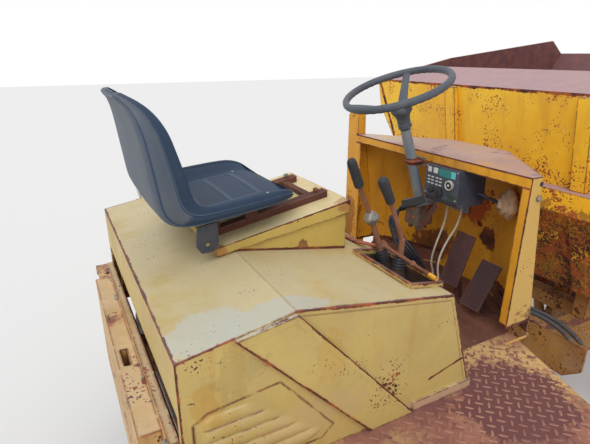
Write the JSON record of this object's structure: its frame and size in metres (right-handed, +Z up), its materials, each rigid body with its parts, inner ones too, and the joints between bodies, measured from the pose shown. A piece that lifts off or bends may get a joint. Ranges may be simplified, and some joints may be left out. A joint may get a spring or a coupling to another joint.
{
  "type": "articulated site dumper",
  "caption": "Articulated site dumper with a wide front tipping skip, open driver's seat on a low rear engine cover, a hollow dash and a centre pivot.",
  "frame": {"origin": "on the ground under the middle of the machine", "axes": "+X forward to the skip, +Y to the driver's left, +Z up"},
  "size_m": [3.254, 1.794, 1.8249],
  "materials": {
    "chassis_paint": "weathered, rusty",
    "cover_paint": "bleached, chalky",
    "dash_paint": "satin, scratched",
    "skip_paint": "gloss, pitted with rust",
    "rusty_plate": "rusty, matt",
    "tyre_rubber": "matt",
    "rim_paint": "weathered",
    "cast": "oily, matt",
    "seat_skin": "grained",
    "grey_plastic": "satin",
    "dark_plastic": "satin",
    "grey_tube": "satin",
    "tan_metal": "dirty, matt",
    "bright_rod": "polished, dull",
    "hose_rubber": "matt",
    "steel": "worn"
  },
  "bodies": {
    "rear_frame": {"rear_chassis": "chassis_paint", "engine_block": "cast", "engine_cover": "cover_paint", "vent_panels": "cover_paint", "cover_straps": "cover_paint", "radiator_guard": "cover_paint", "rear_bumper": "cover_paint", "deck_right": "rusty_plate", "deck_left": "rusty_plate", "footwell_floor": "rusty_plate", "dash_shell": "dash_paint", "instrument_box": "dark_plastic", "horn": "tan_metal", "steering_column": "grey_tube", "steering_unit": "cast", "drive_lever": "steel", "tipping_lever": "steel", "lever_boots": "dark_plastic", "pedals": "rusty_plate", "cable_left": "hose_rubber", "cable_right": "hose_rubber", "seat_box": "cover_paint", "rear_axle": "cast"},
    "front_frame": {"front_chassis": "chassis_paint", "front_axle": "cast", "hose_block": "steel", "front_hose_inner": "hose_rubber", "front_hose_outer": "hose_rubber"},
    "skip": {"skip_shell": "skip_paint", "skip_stiffeners": "skip_paint"},
    "driver_lid": {"seat_lid": "cover_paint", "seat_shell": "seat_skin", "seat_rails": "steel", "seat_brackets": "steel"},
    "hand_wheel": {"steering_wheel": "grey_plastic"},
    "tip_cylinder": {"tip_barrel": "chassis_paint"},
    "tip_cylinder_rod": {"tip_rod": "bright_rod"},
    "steer_cylinder": {"steer_barrel": "chassis_paint"},
    "steer_cylinder_rod": {"steer_rod": "bright_rod"},
    "road_wheel_rear_left": {"tyre_rear_left": "tyre_rubber", "wheel_rear_left": "rim_paint"},
    "road_wheel_rear_right": {"tyre_rear_right": "tyre_rubber", "wheel_rear_right": "rim_paint"},
    "road_wheel_front_left": {"tyre_front_left": "tyre_rubber", "wheel_front_left": "rim_paint"},
    "road_wheel_front_right": {"tyre_front_right": "tyre_rubber", "wheel_front_right": "rim_paint"}
  },
  "joints": [
    {"name": "articulation", "type": "hinge", "parent": "rear_frame", "child": "front_frame", "pos_m": [-0.122, 0, 0.552], "axis": [0, 0, 1], "range_deg": [-35, 35]},
    {"name": "skip_tip", "type": "hinge", "parent": "front_frame", "child": "skip", "pos_m": [1.01, 0, 0.69], "axis": [0, 1, 0], "range_deg": [0, 65]},
    {"name": "seat_lid_hinge", "type": "hinge", "parent": "rear_frame", "child": "driver_lid", "pos_m": [-0.888, 0.012, 1.263], "axis": [0, 1, 0], "range_deg": [0, 45]},
    {"name": "steering_wheel_spin", "type": "hinge", "parent": "rear_frame", "child": "hand_wheel", "pos_m": [-0.55078, 0.04, 1.62147], "axis": [-0.342, 0, 0.9397], "continuous": true},
    {"name": "tip_barrel_swing", "type": "hinge", "parent": "front_frame", "child": "tip_cylinder", "pos_m": [0.64, 0, 0.3], "axis": [0, 1, 0], "range_deg": [-1, 9]},
    {"name": "tip_rod_slide", "type": "slide", "parent": "tip_cylinder", "child": "tip_cylinder_rod", "axis": [0.3037, 0, 0.9528], "range_m": [-0.001, 0.2495]},
    {"name": "steer_barrel_swing", "type": "hinge", "parent": "rear_frame", "child": "steer_cylinder", "pos_m": [-0.322, 0.12, 0.722], "axis": [0, 0, 1], "range_deg": [-16, 16]},
    {"name": "steer_rod_slide", "type": "slide", "parent": "steer_cylinder", "child": "steer_cylinder_rod", "axis": [1, 0, 0], "range_m": [-0.073, 0.073]},
    {"name": "spin_rear_left", "type": "hinge", "parent": "rear_frame", "child": "road_wheel_rear_left", "pos_m": [-1.12, 0.7, 0.38], "axis": [0, 1, 0], "continuous": true},
    {"name": "spin_rear_right", "type": "hinge", "parent": "rear_frame", "child": "road_wheel_rear_right", "pos_m": [-1.12, -0.7, 0.38], "axis": [0, 1, 0], "continuous": true},
    {"name": "spin_front_left", "type": "hinge", "parent": "front_frame", "child": "road_wheel_front_left", "pos_m": [0.875, 0.7, 0.38], "axis": [0, 1, 0], "continuous": true},
    {"name": "spin_front_right", "type": "hinge", "parent": "front_frame", "child": "road_wheel_front_right", "pos_m": [0.875, -0.7, 0.38], "axis": [0, 1, 0], "continuous": true}
  ],
  "couplings": [
    {"joint": "tip_barrel_swing", "follows": "skip_tip", "ratio": 0.1139},
    {"joint": "tip_rod_slide", "follows": "skip_tip", "m_per_rad": 0.2188},
    {"joint": "steer_barrel_swing", "follows": "articulation", "ratio": 0.44},
    {"joint": "steer_rod_slide", "follows": "articulation", "m_per_rad": -0.118}
  ]
}
